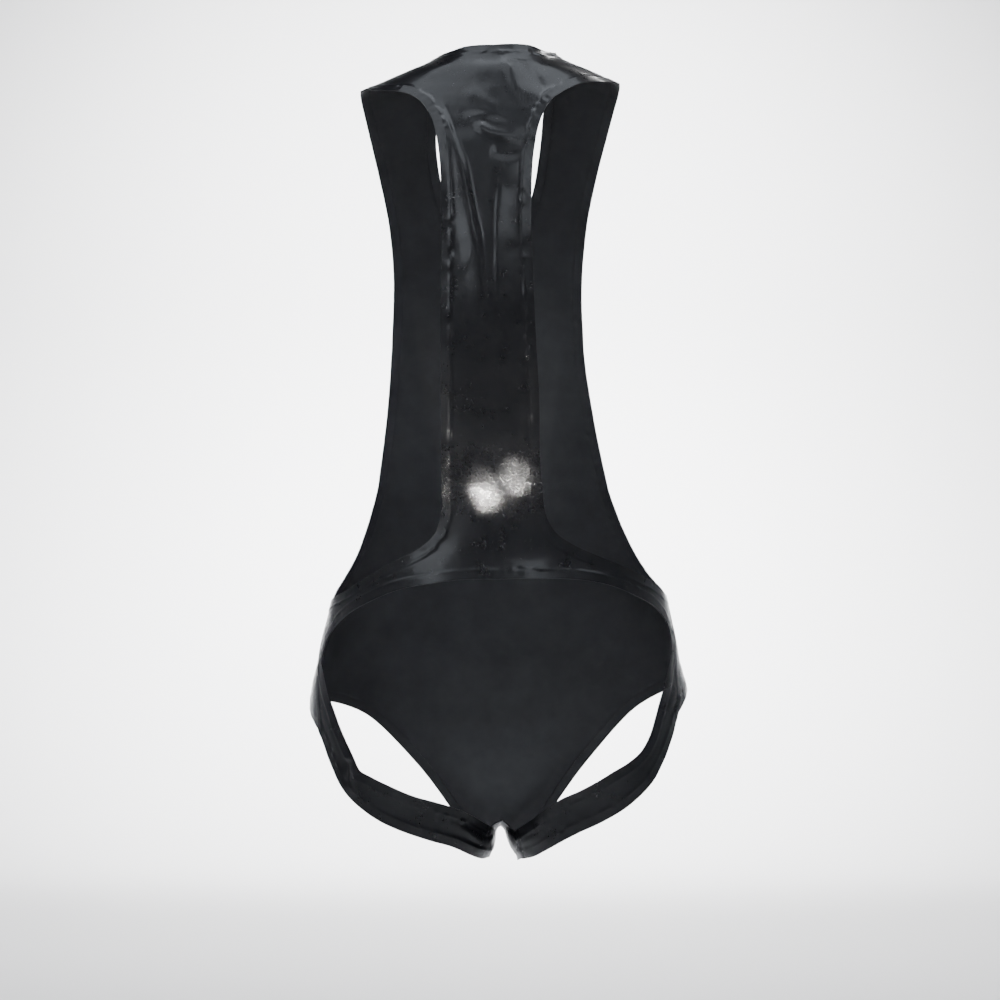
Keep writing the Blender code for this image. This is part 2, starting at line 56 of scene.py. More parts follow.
# How fine the cloth is drawn: points for each step along a ladder and points across it. A rung's points
# lie close together near its ends, at EDGE_STEPS from the edge, which take up at most EDGE_SHARE of it.
# EDGE_FINE is the spacing of the points to which distances are measured, BESIDE counts the points from an
# opening's edge to the line beside it, and RIDGE_FINE is the steps between two points of a fold's path.
BACK_FINE = 6
FRONT_FINE = 5
BACK_ACROSS = 60
BODY_ACROSS = 56
LEG_ACROSS = 44
EDGE_STEPS = (0, 0.5, 1.7, 3.4, 5.5, 7.3, 8.3, 9.0, 9.7, 10.8, 13.0)
EDGE_SHARE = 0.42
EDGE_FINE = 0.5
BESIDE = 7
RIDGE_FINE = 14

# The hem tapes, with the places of their columns from the edge and the room to the sheet over them.
TAPE_WIDTH = 9.0
TAPE_COLUMNS = (0.4, 3.0, 6.0, 8.8)
TAPE_FINE = 2.5
TAPE_CLEAR = 0.05
TAPE_THICK = 0.6

# The hems: the step where the tape ends, the bead of glue along it, the ripples on it and the uneven lip.
# How busy the hem is varies along it. A noise is given by the size of its waves and by its seed.
HEM_RISE = 0.35
HEM_SOFT = 0.5
BEAD_WIDTH = 1.4
BEAD_RISE = 0.27
BEAD_UNEVEN = 0.3
RIPPLE_AT = 6.0
RIPPLE_WIDTH = 3.2
RIPPLE_RISE = 0.10
LIP_WIDTH = 3.0
LIP_RISE = 0.10
BUSY_MEAN, BUSY_SPREAD = 0.5, 0.6
BUSY_RANGE = (0.05, 1.4)
BUSY_NOISE = (55, 3)
BEAD_NOISE = (9, 4)
RIPPLE_NOISE = (6.5, 5)
LIP_NOISE = (24, 6)

# The lapped seams: the step where the upper panel ends, its uneven line and the groove at its edge.
SEAM_LAP = 8.0
SEAM_RISE = 0.45
SEAM_SOFT = 0.4
LAP_WIDTH = 1.1
LAP_UNEVEN = 0.06
LAP_NOISE = (10, 10)
GROOVE_WIDTH = 0.5
GROOVE_DEEP = 0.15

# The broad, shallow waves of the stretched sheet: the height and the noise of each.
CALM_WAVES = ((0.34, (75, 7)), (0.055, (24, 8)), (0.012, (9, 9)))

# The long wrinkles of the straps: their spacing, wandering and height.
STREAK_STEP = 12.5
STREAK_WANDER = 2.2
STREAK_RISE = 0.20
WANDER_NOISE = (95, 11)
FADING_RANGE = (-0.3, 1.2)
FADING_NOISE = (70, 12)

LEFT, RIGHT = 1, -1

# A point of a section is (x, y, z). One of the three may name a side of the figure instead of a size,
# and is then found there.
BACK, FRONT, TOP, BELOW, OUTER, INNER = "back", "front", "top", "below", "outer", "inner"

# Where the search for such a place begins: beside, behind or before the figure, above it and below it.
FAR = 300.0
ABOVE = 100.0
UNDER = -900.0

# The figure's trunk: half width, and depth behind and before the shoulder line, at each height.
TORSO_COLUMNS = ("z", "wide", "back", "front")
TORSO = (
    (60, 48, 34, 62),
    (34, 50, 42, 62),
    (18, 54, 49, 62),
    (8, 70, 55, 62),
    (-1, 93, 61, 64),
    (-17, 131, 70, 68),
    (-46, 205, 86, 80),
    (-72, 236, 98, 94),
    (-120, 222, 108, 112),
    (-170, 200, 112, 123),
    (-217, 182, 112, 125),
    (-265, 174, 108, 121),
    (-313, 165, 102, 115),
    (-362, 156, 95, 109),
    (-410, 148, 89, 105),
    (-458, 151, 90, 104),
    (-506, 160.5, 99, 105),
    (-555, 171.5, 111, 104),
    (-603, 177.5, 119, 101),
    (-651, 177, 114, 96),
    (-700, 172, 98, 88),
)
TORSO_SQUARE = 2.25
SEAT_Z = -630.0
CROTCH_Z = -720.0

# The figure's thighs: outer reach, the middle of the gap and half of it, and depth behind and before.
LEG_COLUMNS = ("z", "reach", "middle", "gap", "back", "front")
LEG = (
    (-560, 169.5, 0, 0, 96, 88),
    (-610, 177, 0, 2, 104, 92),
    (-660, 178, 0, 4, 105, 92),
    (-700, 179, -1, 4.5, 99, 90),
    (-727, 179.5, -1.5, 5.5, 95, 88),
    (-742, 180, -3, 8.5, 92, 86.5),
    (-753, 180, -3.8, 14.5, 91, 86),
    (-800, 181, -5, 19, 86, 82),
)
LEG_SQUARE = 2.0
GAP_X = -3.0
THIGH_Z = -600.0
THIGH_CAP = 70.0
BLEND = 16.0

# Where the middle of the cloth runs: it leans to the left above the waist.
LEAN_COLUMNS = ("z", "x")
LEAN = ((30, 5), (-20, 8.5), (-60, 11), (-250, 11), (-317, 9), (-440, 4), (-484, 1), (-600, -2), (-722, -3))

# The back panel's halves. A row has its outer point, its inner point, the steps to the next row and the edge
# that turns a corner there, if any. The outer edge is the armhole's and then the side seam. The inner edge
# is the neck's, then the middle of the cloth and then the seat opening's.
BACK_LEFT = (
    ((133, 6, TOP), (57, 6, TOP), 3, ""),
    ((116, BACK, -22), (45, BACK, 17), 3, ""),
    ((100, BACK, -25), (32, BACK, 20.5), 3, ""),
    ((84, BACK, -29.5), (19, BACK, 21.5), 3, ""),
    ((72, BACK, -38), (5, BACK, 21.5), 1, "in"),
    ((68.5, BACK, -43), (6, BACK, 12.5), 2, ""),
    ((63, BACK, -53), (8, BACK, -20), 2, ""),
    ((58.7, BACK, -69), (11, BACK, -55), 2, ""),
    ((55, BACK, -94), (11.5, BACK, -90), 3, ""),
    ((53.5, BACK, -132), (11.5, BACK, -132), 6, ""),
    ((54, BACK, -225), (11, BACK, -225), 6, ""),
    ((54, BACK, -317), (9, BACK, -317), 5, ""),
    ((53.5, BACK, -395), (7, BACK, -400), 2, ""),
    ((55, BACK, -429), (5, BACK, -440), 2, ""),
    ((60, BACK, -441.5), (3, BACK, -463), 1, ""),
    ((65, BACK, -447.5), (2, BACK, -475), 1, ""),
    ((70, BACK, -452), (1, BACK, -484), 2, "in"),
    ((87, BACK, -462.5), (34, BACK, -484.5), 2, ""),
    ((108, BACK, -474), (64, BACK, -488.5), 2, ""),
    ((127, BACK, -485.5), (96, BACK, -495), 2, ""),
    ((145, BACK, -497), (123, BACK, -507), 2, ""),
    ((OUTER, 18, -505), (143, BACK, -519.5), 2, ""),
    ((OUTER, -6, -509), (155.5, BACK, -531.5), 1, "out"),
    ((OUTER, -3, -517.5), (158.5, BACK, -535.5), 1, ""),
    ((OUTER, 4, -537), (163, BACK, -545), 1, ""),
    ((OUTER, 13, -556), (166, BACK, -555.5), 1, ""),
    ((OUTER, 24, -573), (167, BACK, -567), 0, ""),
)
BACK_RIGHT = (
    ((-116, 6, TOP), (-53, 6, TOP), 3, ""),
    ((-101, BACK, -15), (-43, BACK, 17.5), 3, ""),
    ((-86, BACK, -16), (-31, BACK, 21.5), 3, ""),
    ((-70, BACK, -21), (-14, BACK, 22.5), 3, ""),
    ((-55, BACK, -30), (5, BACK, 21.5), 1, "in"),
    ((-50.5, BACK, -33.5), (6, BACK, 12.5), 2, ""),
    ((-45, BACK, -41), (8, BACK, -20), 2, ""),
    ((-38.5, BACK, -56), (11, BACK, -55), 2, ""),
    ((-33, BACK, -82), (11.5, BACK, -90), 3, ""),
    ((-30, BACK, -128), (11.5, BACK, -132), 6, ""),
    ((-32.2, BACK, -218), (11, BACK, -225), 6, ""),
    ((-37.2, BACK, -317), (9, BACK, -317), 5, ""),
    ((-40, BACK, -395), (7, BACK, -400), 2, ""),
    ((-45.5, BACK, -428.5), (5, BACK, -440), 2, ""),
    ((-53, BACK, -440.5), (3, BACK, -463), 1, ""),
    ((-60, BACK, -446.5), (2, BACK, -475), 1, ""),
    ((-67.5, BACK, -451), (1, BACK, -484), 2, "in"),
    ((-92, BACK, -462.5), (-38, BACK, -483.5), 2, ""),
    ((-119.5, BACK, -474), (-76, BACK, -485), 2, ""),
    ((-136, BACK, -482), (-107, BACK, -491.5), 2, ""),
    ((-150, BACK, -490.5), (-130, BACK, -501.5), 2, ""),
    ((OUTER, 20, -497.5), (-147, BACK, -511.5), 2, ""),
    ((OUTER, -6, -503), (-157, BACK, -523), 1, "out"),
    ((OUTER, -3, -511.5), (-159.5, BACK, -527.5), 1, ""),
    ((OUTER, 4, -526), (-162.5, BACK, -537), 1, ""),
    ((OUTER, 12, -541), (-163.3, BACK, -548), 1, ""),
    ((OUTER, 20, -554), (-162.5, BACK, -558), 0, ""),
)

# The thigh straps. Their outer edge is the lower end of the side seam and then the hem, and their inner edge
# is the lower edge of the seat opening. They end at the groin seam, on the inside of the thigh.
STRAP_LEFT = (
    ((OUTER, 24, -573), (167, BACK, -567), 1, ""),
    ((OUTER, 41, -593), (161, BACK, -588), 1, ""),
    ((OUTER, 51, -618), (152.5, BACK, -611), 1, ""),
    ((169.5, BACK, -627), (149, BACK, -620), 3, "out"),
    ((163, BACK, -643), (142, BACK, -636), 3, ""),
    ((154, BACK, -665), (135, BACK, -650.5), 2, ""),
    ((141, BACK, -686), (130, BACK, -661), 2, ""),
    ((128, BACK, -697.5), (118, BACK, -668), 2, ""),
    ((112, BACK, -708.5), (103, BACK, -675), 3, ""),
    ((88, BACK, -719.5), (80, BACK, -685), 3, ""),
    ((66, BACK, -727.5), (57, BACK, -692.5), 2, ""),
    ((45, BACK, -735), (38, BACK, -700), 2, ""),
    ((30, BACK, -743.5), (25, BACK, -707.5), 2, ""),
    ((19, BACK, -750), (15, BACK, -715), 3, ""),
    ((INNER, 6, -752), (8.5, BACK, -720), 0, ""),
)
STRAP_RIGHT = (
    ((OUTER, 20, -554), (-162.5, BACK, -558), 1, ""),
    ((OUTER, 38, -577), (-157, BACK, -577), 1, ""),
    ((OUTER, 49, -602), (-149, BACK, -602), 1, ""),
    ((-168.5, BACK, -611), (-146.5, BACK, -611), 3, "out"),
    ((-163, BACK, -632), (-141, BACK, -630), 3, ""),
    ((-154.5, BACK, -654), (-133, BACK, -644), 2, ""),
    ((-142, BACK, -675), (-120, BACK, -654.5), 2, ""),
    ((-131, BACK, -686), (-106, BACK, -662.5), 2, ""),
    ((-117.5, BACK, -697), (-92, BACK, -671), 3, ""),
    ((-99, BACK, -708), (-76, BACK, -680), 3, ""),
    ((-75, BACK, -720), (-59, BACK, -688.5), 2, ""),
    ((-61, BACK, -728), (-45, BACK, -699), 2, ""),
    ((-48, BACK, -736.5), (-33, BACK, -709.5), 2, ""),
    ((-35, BACK, -745.5), (-23.5, BACK, -717.5), 2, ""),
    ((-23, BACK, -751), (-16, BACK, -724.5), 0, ""),
)

# The front panel's halves are alike. Here x is the distance from the middle of the cloth. The first
# row is the shoulder seam, and SEAM stands for the corner at the top of the side seam.
SEAM = "seam"
FRONT_SECTIONS = (
    (SEAM, SEAM, 3, ""),
    ((119, FRONT, -45), (53, FRONT, -22), 3, ""),
    ((108, FRONT, -90), (51, FRONT, -66), 3, ""),
    ((99, FRONT, -135), (44, FRONT, -105), 3, ""),
    ((95, FRONT, -175), (32, FRONT, -136), 2, ""),
    ((94, FRONT, -205), (16, FRONT, -154), 2, ""),
    ((94.5, FRONT, -228), (0, FRONT, -160), 1, "in"),
    ((95, FRONT, -238), (0, FRONT, -169), 3, ""),
    ((96, FRONT, -265), (0, FRONT, -215), 4, ""),
    ((101, FRONT, -315), (0, FRONT, -285), 4, ""),
    ((108, FRONT, -365), (0, FRONT, -350), 4, ""),
    ((118, FRONT, -415), (0, FRONT, -410), 3, ""),
    ((132, FRONT, -455), (0, FRONT, -455), 3, ""),
    ((150, FRONT, -488), (0, FRONT, -490), 3, ""),
    (SEAM, (0, FRONT, -525), 1, "out"),
    ((OUTER, -14, -513), (0, FRONT, -534), 2, ""),
    ((130, FRONT, -552), (0, FRONT, -560), 3, ""),
    ((96, FRONT, -592), (0, FRONT, -600), 3, ""),
    ((64, FRONT, -635), (0, FRONT, -645), 3, ""),
    ((36, FRONT, -680), (0, FRONT, -686), 2, ""),
    ((15, -50, BELOW), (0, -48, BELOW), 2, ""),
    ((7, -12, -727), (0, -8, BELOW), 1, ""),
    ((7, 12, -727), (0, 30, BELOW), 1, ""),
    (SEAM, (0, 46, BELOW), 0, ""),
)

# The front panel ends in a tongue between the thighs: a point of its edge, and the steps to and from it.
TONGUE_CORNER = (9, 38, BELOW)
TONGUE_STEPS = (12, 16)

# The leg's hem on the front, from the side seam over the hip and round to the groin seam: its points, each
# with the steps to the next one.
HEM_LEFT = (
    (SEAM, 3),
    ((OUTER, 21, -614), 2),
    ((OUTER, -28, -606), 3),
    ((135, FRONT, -622), 3),
    ((85, FRONT, -672), 3),
    ((38, FRONT, -732), 2),
    ((INNER, -25, -756), 2),
    (SEAM, 0),
)
HEM_RIGHT = (
    (SEAM, 3),
    ((OUTER, 19, -595), 2),
    ((OUTER, -28, -591), 3),
    ((135, FRONT, -614), 3),
    ((85, FRONT, -670), 3),
    ((38, FRONT, -732), 2),
    ((INNER, -15, -757), 2),
    (SEAM, 0),
)

# The folds: a soft ridge along each path, or a trough where its height is below zero. Each has its path, how
# far it reaches to the left and to the right of someone who walks along it outside, and its height. It
# rises over the first share of its length and fades over the last.
RIDGE_START = 0.22
RIDGE_END = 0.35
RIDGES = (
    (
        (
            (57, BACK, -30),
            (50, BACK, -55),
            (41, BACK, -80),
            (35, BACK, -97),
            (27, BACK, -138),
            (20, BACK, -174),
            (16, BACK, -209),
            (15, BACK, -268),
        ),
        3.6,
        13,
        2.6,
    ),
    (((-3, BACK, -110), (1, BACK, -135), (2, BACK, -165), (2, BACK, -205), (1, BACK, -255)), 9, 2.6, 0.8),
    (((23, BACK, -57), (13, BACK, -67), (-2, BACK, -72), (-29, BACK, -76)), 7, 4, 2.0),
    (((9, BACK, -84), (-6, BACK, -88), (-25, BACK, -85)), 5, 5, -1.0),
    (((34, BACK, -54), (10, BACK, -52), (-14, BACK, -55)), 5, 3.5, 0.6),
    (((33, BACK, -23), (14, BACK, -38), (-5, BACK, -51)), 8, 6, 0.9),
    (((-8, BACK, 9), (-14, BACK, -14), (-23, BACK, -41)), 14, 6, 1.5),
    (((-27, BACK, 6), (-36, BACK, -14), (-43, BACK, -32)), 6, 6, -0.7),
    (((-2, BACK, -183), (-17, BACK, -177), (-33, BACK, -172)), 5, 5, -0.22),
    (((74, BACK, -13), (48, BACK, 2), (22, BACK, 13)), 10, 9, 1.0),
    (((-17, BACK, -285), (-17, BACK, -350), (-14, BACK, -400)), 7, 6, 0.45),
    (((140, BACK, -650), (141.5, BACK, -664), (141, BACK, -679)), 4, 4, -2.4),
    (((131, BACK, -660), (133, BACK, -674), (132, BACK, -688)), 5, 5, 1.8),
    (((160, BACK, -612), (151, BACK, -640), (141, BACK, -660)), 5, 5, 0.6),
)

# The skin is a little duller and more grained at the small of the back, between these heights in metres.
# The stops give the grain's share from the lower height to the upper one.
DULL_BELOW, DULL_ABOVE = -0.432, -0.352
DULL_STOPS = ((0.0, 0.12), (0.35, 1.0), (0.65, 1.0), (1.0, 0.12))

LATEX_DARK = (0.006, 0.006, 0.0075, 1)
LATEX_LIGHT = (0.011, 0.0112, 0.0135, 1)
INSIDE_DARK = (0.032, 0.032, 0.034, 1)
INSIDE_LIGHT = (0.046, 0.046, 0.049, 1)

# The looks: name, darkest and lightest colour, roughness and how far it varies, coat, depth and fineness of
# the grain, and how far the grain changes the roughness.
LOOKS = (
    ("latex", LATEX_DARK, LATEX_LIGHT, 0.31, 0.04, 0.35, 1.0, 380.0, 0.95),
    ("latex_inside", INSIDE_DARK, INSIDE_LIGHT, 0.6, 0.06, 0.0, 0.4, 700.0, 0.2),
    ("hem_tape", INSIDE_DARK, INSIDE_LIGHT, 0.5, 0.06, 0.0, 0.4, 700.0, 0.2),
)
# The scale, detail and roughness of the noises in a look, and where their ramps begin and end.
CLOUD = (26.0, 4.0, 0.6)
HAZE = (90.0, 3.0, 0.5)
GRAIN = (3.0, 0.55)
COLOUR_FROM, COLOUR_TO = 0.3, 0.75
GLOSS_FROM, GLOSS_TO = 0.12, 0.42
GRAIN_HEIGHT = 0.0002
COAT_ROUGHNESS = 0.13
SPECULAR_LEVEL = 0.32
REFRACTION = 1.5

# The studio, in metres: a round floor whose border sweeps up into a wall.
FLOOR_Z = -1.2
FLOOR_CENTRE = 0.01
FLOOR_REACH = 3.4
FLOOR_SIDES = 128
SWEEP = 1.3
SWEEP_STEPS = 23
WALL_TOP = 3.2
FLOOR_COLOUR = (0.72, 0.72, 0.73, 1)
FLOOR_ROUGH = 0.9
SKY = 0.035
SKY_COLOUR = (0.9, 0.93, 1.0, 1)
CAMERA = (-0.000965, 2.8, -0.41)
CAMERA_TURN = (math.radians(90), 0, math.radians(180))
LENS = 104.46
SENSOR = 36.0
NEAREST, FARTHEST = 0.05, 30.0
COOL = (0.86, 0.92, 1.0)
WHITE = (1.0, 1.0, 1.0)
WARM = (1.0, 0.97, 0.92)
# A soft light has its name, its place, what it points at, its width and height, its power, the angle over
# which it spreads and its colour.
SOFT_LIGHTS = (
    ("over_left", (1.05, 0.6, 1.9), (0.3, 0.1, -0.1), (1.5, 2.6), 16, 150, COOL),
    ("over_right", (-0.8, 0.6, 1.9), (-0.2, 0.1, -0.1), (1.0, 2.6), 15, 150, COOL),
    ("left_high", (1.08, 2.05, 1.19), (0, 0.1, -0.15), (0.7, 1.74), 3.6, 120, COOL),
    ("left_low", (1.256, 2.365, 0.06), (0, 0.1, -0.17), (0.75, 0.73), 0.6, 60, COOL),
    ("right_near", (-0.46, 2.27, 0.75), (0, 0.1, -0.15), (0.67, 1.1), 2.1, 120, COOL),
    ("upper", (-0.15, 1.75, 1.75), (0, 0.1, -0.1), (1.3, 0.9), 2.3, 120, COOL),
    ("front", (-1.4, -1.7, 1.5), (0, 0, -0.45), (0.6, 1.6), 14, 100, WHITE),
    ("wall", (0, -2.0, 2.4), (0, -4.7, -0.5), (1.3, 0.5), 165, 62, WHITE),
    ("floor", (0, -2.1, 2.4), (0, -2.9, -1.2), (1.3, 0.5), 54, 70, WHITE),
)
# Narrow beams on the cloth: name, place, what it points at, angle, size of the lamp and power.
BEAMS = (
    ("beam_low", (0.085, 2.0, -0.48), (0.012, 0.09, -0.405), 0.42, 0.008, 120),
    ("beam_middle", (0.1, 2.0, -0.6), (0.0145, 0.09, -0.396), 0.42, 0.008, 210),
    ("beam_beside", (-0.1, 2.0, -0.62), (-0.016, 0.09, -0.387), 0.38, 0.008, 330),
    ("beam_around", (0.0, 2.0, -0.57), (0.004, 0.09, -0.384), 2.2, 0.03, 10),
    ("beam_left", (-1.0, 1.985, -0.727), (0.046, 0.09, -0.335), 2.4, 0.1, 210),
    ("beam_right", (1.0, 1.985, -0.75), (-0.034, 0.09, -0.365), 2.4, 0.1, 210),
)


def columns(names, table):
    """The table's columns by name."""
    return dict(zip(names, (np.array(c, float) for c in zip(*table))))


def smooth(x, xs, ys):
    """A smooth curve through the points (xs, ys), with no overshoot, read at x."""
    order = np.argsort(xs)
    xs, ys = xs[order], ys[order]
    run = np.diff(xs)
    rise = np.diff(ys) / run
    bend = np.concatenate([rise[:1], np.zeros(len(xs) - 2), rise[-1:]])
    same = rise[:-1] * rise[1:] > 0
    mean = 2 * rise[:-1] * rise[1:] / np.where(same, rise[:-1] + rise[1:], 1)
    bend[1:-1] = np.where(same, mean, 0)
    x = np.clip(x, xs[0], xs[-1])
    i = np.clip(np.searchsorted(xs, x) - 1, 0, len(run) - 1)
    t = (x - xs[i]) / run[i]
    start = (1 + 2 * t) * (1 - t) ** 2 * ys[i] + t * (1 - t) ** 2 * run[i] * bend[i]
    end = t * t * (3 - 2 * t) * ys[i + 1] + t * t * (t - 1) * run[i] * bend[i + 1]
    return start + end


HEIGHTS = np.arange(-860.0, 120.0, 0.25)


def by_height(names, table):
    """The table's columns as smooth curves, read at every one of HEIGHTS."""
    given = columns(names, table)
    return {name: smooth(HEIGHTS, given["z"], given[name]) for name in names}


TRUNK = by_height(TORSO_COLUMNS, TORSO)
THIGH = by_height(LEG_COLUMNS, LEG)
MIDDLE = by_height(LEAN_COLUMNS, LEAN)


def trunk_value(p):
    """Below zero inside the trunk, and about the distance from its skin."""
    x, y, z = p[..., 0], p[..., 1], p[..., 2]
    wide = np.interp(z, HEIGHTS, TRUNK["wide"])
    behind = np.interp(z, HEIGHTS, TRUNK["back"])
    before = np.interp(z, HEIGHTS, TRUNK["front"])
    deep = np.where(y > 0, behind, before)
    low = np.maximum(SEAT_Z - z, 0) / (SEAT_Z - CROTCH_Z)
    n = TORSO_SQUARE
    r = (np.abs(x / wide) ** n + np.abs(y / deep) ** n + low**n) ** (1 / n)
    return (r - 1) * np.sqrt(wide * deep)


def thigh_value(p, side):
    """The same for one thigh."""
    x, y, z = p[..., 0], p[..., 1], p[..., 2]
    reach = np.interp(z, HEIGHTS, THIGH["reach"])
    inner = side * np.interp(z, HEIGHTS, THIGH["middle"]) + np.interp(z, HEIGHTS, THIGH["gap"])
    wide, centre = (reach - inner) / 2, side * (reach + inner) / 2
    behind = np.interp(z, HEIGHTS, THIGH["back"])
    before = np.interp(z, HEIGHTS, THIGH["front"])
    deep = np.where(y > 0, behind, before)
    high = np.maximum(z - THIGH_Z, 0) / THIGH_CAP
    n = LEG_SQUARE
    r = (np.abs((x - centre) / wide) ** n + np.abs(y / deep) ** n + high**n) ** (1 / n)
    return (r - 1) * np.sqrt(wide * deep)


def figure(p):
    """Below zero inside the figure: the trunk and the thighs, blended."""
    a = trunk_value(p)
    b = np.minimum(thigh_value(p, LEFT), thigh_value(p, RIGHT))
    near = np.maximum(BLEND - np.abs(a - b), 0) / BLEND
    return np.minimum(a, b) - near * near * BLEND / 4


def steepness(p, step=0.5):
    """The gradient of the figure's value."""
    g = np.zeros(p.shape)
    for k in range(3):
        d = np.zeros(3)
        d[k] = step
        g[..., k] = (figure(p + d) - figure(p - d)) / (2 * step)
    return g


def settle(p, rounds=12):
    """The points moved onto the nearest skin of the figure."""
    p = np.array(p, float)
    for _ in range(rounds):
        g = steepness(p)
        p = p - (figure(p) / np.maximum((g * g).sum(-1), 1e-9))[..., None] * g
    return p


def outward(p):
    """The skin's outward direction."""
    g = steepness(p)
    return g / np.linalg.norm(g, axis=-1, keepdims=True)


def cast(origin, direction, reach=420.0, samples=841, halvings=24):
    """Where a line first meets the figure, or the skin nearest to it if it misses."""
    origin, direction = np.array(origin, float), np.array(direction, float)
    t = np.linspace(0, reach, samples)
    value = figure(origin + t[:, None] * direction)
    inside = np.flatnonzero(value < 0)
    if len(inside) == 0:
        return settle(origin + t[value.argmin()] * direction)
    high = t[inside[0]]
    low = t[max(inside[0] - 1, 0)]
    for _ in range(halvings):
        half = (low + high) / 2
        if figure(origin + half * direction) < 0:
            high = half
        else:
            low = half
    return origin + high * direction


def on_figure(point, side=LEFT):
    """The place on the figure of a section's point."""
    x, y, z = point
    if y == BACK:
        return cast((x, FAR, z), (0, -1, 0))
    if y == FRONT:
        return cast((x, -FAR, z), (0, 1, 0))
    if z == TOP:
        return cast((x, y, ABOVE), (0, 0, -1))
    if z == BELOW:
        return cast((x, y, UNDER), (0, 0, 1))
    if x == OUTER:
        return cast((side * FAR, y, z), (-side, 0, 0))
    if x == INNER:
        return cast((GAP_X, y, z), (side, 0, 0))
    return settle((x, y, z))


def curve(points, steps, turns=()):
    """A smooth line through the points, in the given steps between them, with a corner at each turn."""
    points = np.array(points, float)
    ends = [0, *sorted(turns), len(points) - 1]
    line = [points[0]]
    for first, last in zip(ends, ends[1:]):
        part = points[first : last + 1]
        run = np.linalg.norm(np.diff(part, axis=0), axis=1)[:, None]
        rise = np.diff(part, axis=0) / run
        bend = np.concatenate([rise[:1], rise, rise[-1:]])[: len(part)]
        inner = (rise[:-1] * run[1:] + rise[1:] * run[:-1]) / (run[1:] + run[:-1])
        bend[1:-1] = inner
        if len(part) > 2:
            bend[0] = 1.5 * rise[0] - 0.5 * bend[1]
            bend[-1] = 1.5 * rise[-1] - 0.5 * bend[-2]
        else:
            bend[:] = rise[0]
        for i in range(len(part) - 1):
            for k in range(1, steps[first + i] + 1):
                t = k / steps[first + i]
                a = (1 + 2 * t) * (1 - t) ** 2 * part[i] + t * (1 - t) ** 2 * run[i] * bend[i]
                b = t * t * (3 - 2 * t) * part[i + 1] + t * t * (t - 1) * run[i] * bend[i + 1]
                line.append(a + b)
    return settle(line)


def rails(sections, side, fine, corners=None):
    """The two long edges of a ladder, from its table. The corners replace each SEAM, in order."""
    found = {}
    for k, name in ((0, "out"), (1, "in")):
        given = iter(corners[name]) if corners else None
        points = [next(given) if row[k] == SEAM else on_figure(row[k], side) for row in sections]
        turns = [i for i, row in enumerate(sections) if row[3] == name]
        found[name] = curve(points, [row[2] * fine for row in sections], turns)
    return found["out"], found["in"]


def row_of(sections, turn, name, fine):
    """The number of points along a ladder's edge before the row that is marked as this turn."""
    at = [i for i, row in enumerate(sections) if row[3] == name][turn]
    return sum(row[2] for row in sections[:at]) * fine


def from_middle(point, side):
    """A front section's point, whose x is its distance from the middle of the cloth."""
    if point == SEAM:
        return SEAM
    x, y, z = point
    if x in (OUTER, INNER):
        return point
    height = CROTCH_Z if z == BELOW else z
    return (float(np.interp(height, HEIGHTS, MIDDLE["x"])) + side * x, y, z)


def rung_places(length, count):
    """Where the points of a rung lie, from 0 to 1, close together near its two ends."""
    ends = np.array(EDGE_STEPS) * min(1.0, EDGE_SHARE * length / EDGE_STEPS[-1])
    middle = np.linspace(ends[-1], length - ends[-1], count - 2 * len(ends) + 2)
    return np.concatenate([ends[:-1], middle, (length - ends[::-1])[1:]]) / length


def spaced(line, places):
    """Points of a line at these shares of its length."""
    run = np.concatenate([[0], np.cumsum(np.linalg.norm(np.diff(line, axis=0), axis=1))])
    return np.stack([np.interp(places * run[-1], run, line[:, k]) for k in range(3)], -1)


def line_length(line):
    """The length of a line of points."""
    return np.linalg.norm(np.diff(line, axis=0), axis=1).sum()


def ladder(out, inner, count, first=None, last=None, fade=1):
    """Rungs from one edge to the other, settled on the figure. An end rung may follow a given line."""
    grid = []
    for a, b in zip(out, inner):
        t = rung_places(np.linalg.norm(b - a), count)[:, None]
        grid.append(a + t * (b - a))
    grid = np.array(grid)
    for line, at, way in ((first, 0, 1), (last, -1, -1)):
        if line is None:
            continue
        off = spaced(line, rung_places(line_length(line), count)) - grid[at]
        for k in range(fade):
            grid[at + way * k] += (1 - k / fade) ** 2 * (1 + 2 * k / fade) * off
    grid = settle(grid, rounds=6)
    grid[:, 0], grid[:, -1] = out, inner
    return grid


def back_half(sections, side):
    """One half of the back panel."""
    out, inner = rails(sections, side, BACK_FINE)
    return {
        "grid": ladder(out, inner, BACK_ACROSS),
        "seam": row_of(sections, 0, "out", BACK_FINE),
        "neck": row_of(sections, 0, "in", BACK_FINE),
        "seat": row_of(sections, 1, "in", BACK_FINE),
    }


def strap(sections, side):
    """One thigh strap."""
    out, inner = rails(sections, side, BACK_FINE)
    return {"grid": ladder(out, inner, BACK_ACROSS), "hem": row_of(sections, 0, "out", BACK_FINE)}


